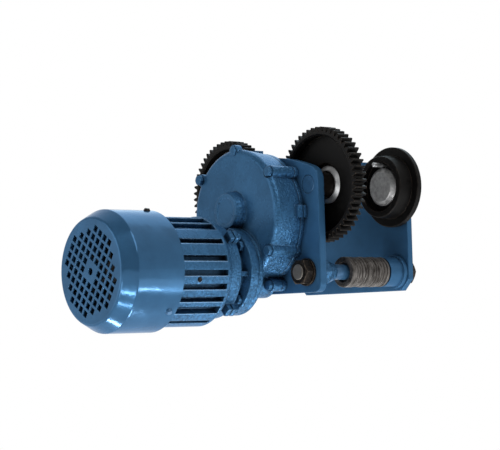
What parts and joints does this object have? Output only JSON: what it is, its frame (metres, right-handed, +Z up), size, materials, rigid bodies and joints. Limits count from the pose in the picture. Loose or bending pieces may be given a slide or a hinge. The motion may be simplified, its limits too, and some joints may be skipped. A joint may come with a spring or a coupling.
{
  "type": "motorized beam trolley",
  "caption": "Electric trolley that hangs from an I-beam: geared wheels driven by a flange motor through a gear case on one plate, idle wheels on the other, tie shafts below.",
  "frame": {"origin": "on the running surface of the beam's lower flange, midway between the wheels along and across the beam", "axes": "+X along the beam, +Y across the beam from the motor side to the idle side, +Z up"},
  "size_m": [0.3374, 0.4502, 0.2582],
  "materials": {
    "plate_paint": "blue spray paint on rolled steel plate, semi-gloss",
    "cast_paint": "blue paint on sand-cast metal, semi-gloss and slightly rough",
    "motor_paint": "blue paint on a die-cast motor housing, gloss",
    "cover_paint": "blue enamel on pressed sheet steel, gloss",
    "wheel_black": "black oil-finished cast and hobbed steel",
    "bright_steel": "turned steel, bare",
    "dark_steel": "black oxide",
    "washer_steel": "bare steel washers with light rust",
    "bearing_steel": "ground bearing steel",
    "gear_steel": "hobbed gear steel, oiled",
    "seal_rubber": "nitrile rubber",
    "gasket_fibre": "fibre gasket sheet",
    "lamination": "stacked electrical steel",
    "copper": "varnished copper wire",
    "fan_plastic": "moulded nylon",
    "board_plastic": "moulded phenolic"
  },
  "bodies": {
    "frame": {"drive_side_plate": "plate_paint", "idle_side_plate": "plate_paint", "drive_wheel_axles": "bright_steel", "idle_wheel_axles": "bright_steel", "wheel_bearing_inner_races": "bearing_steel", "axle_circlips": "dark_steel", "tie_shaft_front": "plate_paint", "tie_shaft_rear": "plate_paint", "tie_shaft_outer_nuts": "dark_steel", "tie_shaft_washers": "dark_steel", "tie_shaft_inner_nuts": "plate_paint", "tie_shaft_collars": "plate_paint", "gear_case_back": "cast_paint", "gear_case_gasket": "gasket_fibre", "gear_case": "cast_paint", "gear_case_bolts": "cast_paint", "oil_seals": "seal_rubber", "shaft_bearing_outer_races": "bearing_steel", "motor_front_shield": "cast_paint", "motor_flange_bolts": "cast_paint", "shield_screws": "motor_paint", "motor_housing": "motor_paint", "earth_screw": "dark_steel", "stator_core": "lamination", "stator_windings": "copper", "motor_rear_shield": "motor_paint", "fan_cover": "cover_paint", "fan_cover_screws": "dark_steel", "terminal_box": "motor_paint", "terminal_box_lid": "motor_paint", "terminal_lid_screws": "bright_steel", "terminal_board": "board_plastic"},
    "drive_wheel_front": {"drive_wheel_front": "wheel_black", "drive_wheel_front_bearing_races": "bearing_steel", "drive_wheel_front_dust_cap": "bright_steel", "drive_wheel_front_seal_ring": "bright_steel"},
    "drive_wheel_rear": {"drive_wheel_rear": "wheel_black", "drive_wheel_rear_bearing_races": "bearing_steel", "drive_wheel_rear_dust_cap": "bright_steel", "drive_wheel_rear_seal_ring": "bright_steel"},
    "idle_wheel_front": {"idle_wheel_front": "wheel_black", "idle_wheel_front_bearing_races": "bearing_steel", "idle_wheel_front_dust_cap": "bright_steel", "idle_wheel_front_seal_ring": "bright_steel"},
    "idle_wheel_rear": {"idle_wheel_rear": "wheel_black", "idle_wheel_rear_bearing_races": "bearing_steel", "idle_wheel_rear_dust_cap": "bright_steel", "idle_wheel_rear_seal_ring": "bright_steel"},
    "output_shaft": {"output_shaft": "gear_steel", "output_gear": "gear_steel", "output_pinion": "gear_steel", "pinion_circlip": "dark_steel", "output_bearing_inner_races": "bearing_steel"},
    "motor_rotor": {"motor_shaft": "bright_steel", "motor_pinion": "gear_steel", "rotor_core": "lamination", "cooling_fan": "fan_plastic", "motor_bearing_inner_races": "bearing_steel"},
    "spacers_front": {"spacer_washers_front": "washer_steel"},
    "spacers_rear": {"spacer_washers_rear": "washer_steel"}
  },
  "joints": [
    {"name": "drive_wheel_front_spin", "type": "hinge", "parent": "frame", "child": "drive_wheel_front", "pos_m": [0.0945, 0, 0.042], "axis": [0, 1, 0], "continuous": true},
    {"name": "drive_wheel_rear_spin", "type": "hinge", "parent": "frame", "child": "drive_wheel_rear", "pos_m": [-0.0945, 0, 0.042], "axis": [0, 1, 0], "continuous": true},
    {"name": "output_shaft_spin", "type": "hinge", "parent": "frame", "child": "output_shaft", "pos_m": [0, 0, 0.01249], "axis": [0, 1, 0], "continuous": true},
    {"name": "motor_spin", "type": "hinge", "parent": "frame", "child": "motor_rotor", "pos_m": [0, 0, -0.06551], "axis": [0, 1, 0], "continuous": true},
    {"name": "idle_wheel_front_spin", "type": "hinge", "parent": "frame", "child": "idle_wheel_front", "pos_m": [0.0945, 0, 0.042], "axis": [0, 1, 0], "continuous": true},
    {"name": "idle_wheel_rear_spin", "type": "hinge", "parent": "frame", "child": "idle_wheel_rear", "pos_m": [-0.0945, 0, 0.042], "axis": [0, 1, 0], "continuous": true},
    {"name": "spacers_front_slide", "type": "slide", "parent": "frame", "child": "spacers_front", "axis": [0, 1, 0], "range_m": [-0.018, 0]},
    {"name": "spacers_rear_slide", "type": "slide", "parent": "frame", "child": "spacers_rear", "axis": [0, 1, 0], "range_m": [-0.018, 0]}
  ],
  "couplings": [
    {"joint": "drive_wheel_rear_spin", "follows": "drive_wheel_front_spin", "ratio": 1},
    {"joint": "output_shaft_spin", "follows": "drive_wheel_front_spin", "ratio": -2.6},
    {"joint": "motor_spin", "follows": "drive_wheel_front_spin", "ratio": 14.3}
  ]
}
